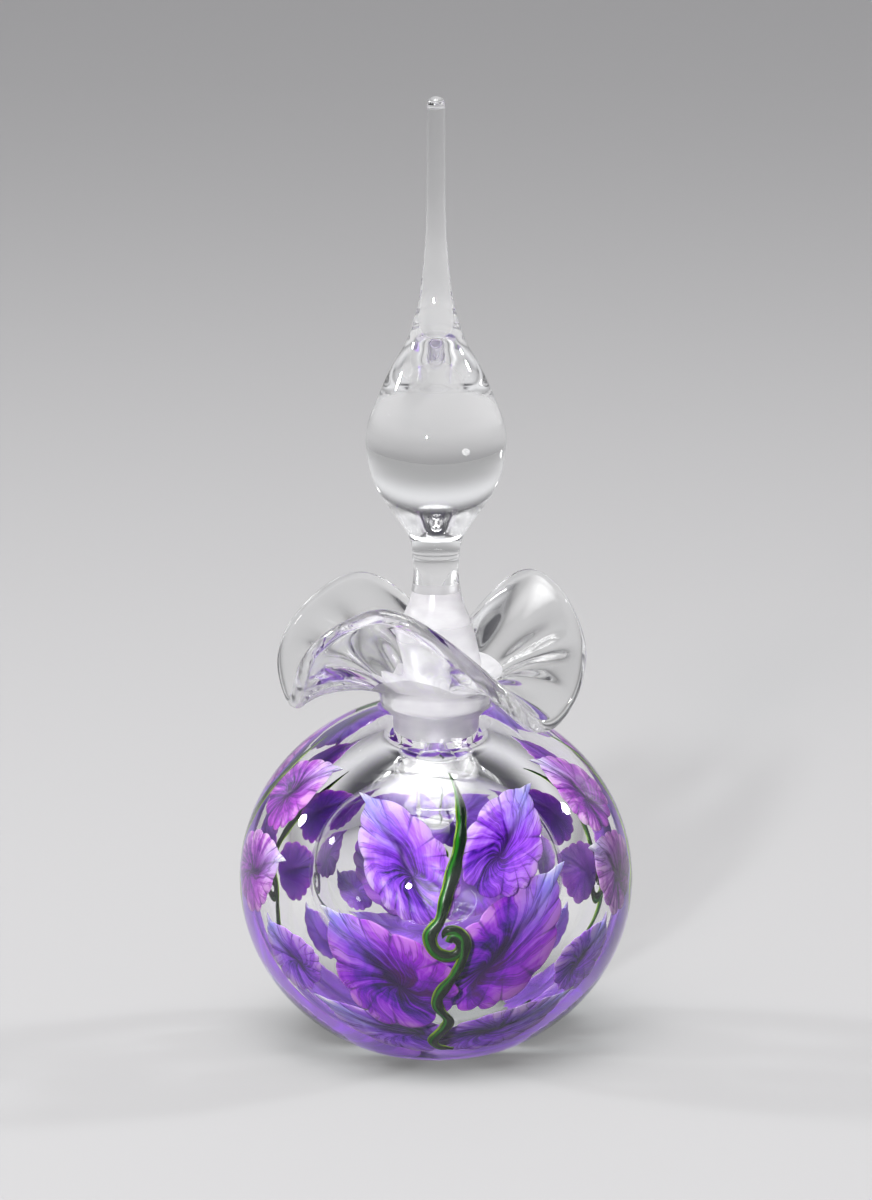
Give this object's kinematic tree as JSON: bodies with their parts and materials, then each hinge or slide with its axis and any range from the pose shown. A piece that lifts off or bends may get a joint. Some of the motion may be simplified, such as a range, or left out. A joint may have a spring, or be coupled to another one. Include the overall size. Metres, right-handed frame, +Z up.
{
  "type": "perfume bottle",
  "caption": "Round art-glass perfume bottle with violet petals sealed in the wall, a ruffled lip and a tall ground-glass stopper that lifts out.",
  "frame": {"origin": "centre of the flat ground base", "axes": "+Z up through the stopper's point, -Y towards the front flower, +X to its right"},
  "size_m": [0.0852, 0.0852, 0.205],
  "materials": {
    "clear_glass": "fire-polished clear art glass",
    "ground_glass": "ground matt, white and translucent, clear above and below the ground cone",
    "petal_glass": "streaked violet, lilac at the edges and near-black in the creases",
    "vine_glass": "dark green, nearly opaque"
  },
  "bodies": {
    "bottle": {"outer_casing": "clear_glass", "inner_gather": "clear_glass", "lip_collar": "clear_glass", "petal_front_upper_left": "petal_glass", "petal_front_upper_right": "petal_glass", "petal_front_lower_left": "petal_glass", "petal_front_lower_right": "petal_glass", "petal_front_base_left": "petal_glass", "petal_front_base_right": "petal_glass", "petal_right_upper_left": "petal_glass", "petal_right_upper_right": "petal_glass", "petal_right_middle_left": "petal_glass", "petal_right_middle_right": "petal_glass", "petal_right_lower_left": "petal_glass", "petal_right_lower_right": "petal_glass", "petal_right_base_left": "petal_glass", "petal_right_base_right": "petal_glass", "petal_back_upper_left": "petal_glass", "petal_back_upper_right": "petal_glass", "petal_back_lower_left": "petal_glass", "petal_back_lower_right": "petal_glass", "petal_back_base_left": "petal_glass", "petal_back_base_right": "petal_glass", "petal_left_upper_left": "petal_glass", "petal_left_upper_right": "petal_glass", "petal_left_middle_left": "petal_glass", "petal_left_middle_right": "petal_glass", "petal_left_lower_left": "petal_glass", "petal_left_lower_right": "petal_glass", "petal_left_base_left": "petal_glass", "petal_left_base_right": "petal_glass", "vine_front": "vine_glass", "vine_right": "vine_glass", "vine_back": "vine_glass", "vine_left": "vine_glass"},
    "stopper": {"stopper_spire": "clear_glass", "stopper_bulb": "clear_glass", "stopper_plug": "ground_glass"}
  },
  "joints": [
    {"name": "stopper_lift", "type": "slide", "parent": "bottle", "child": "stopper", "axis": [0, 0, 1], "range_m": [0, 0.06]}
  ]
}
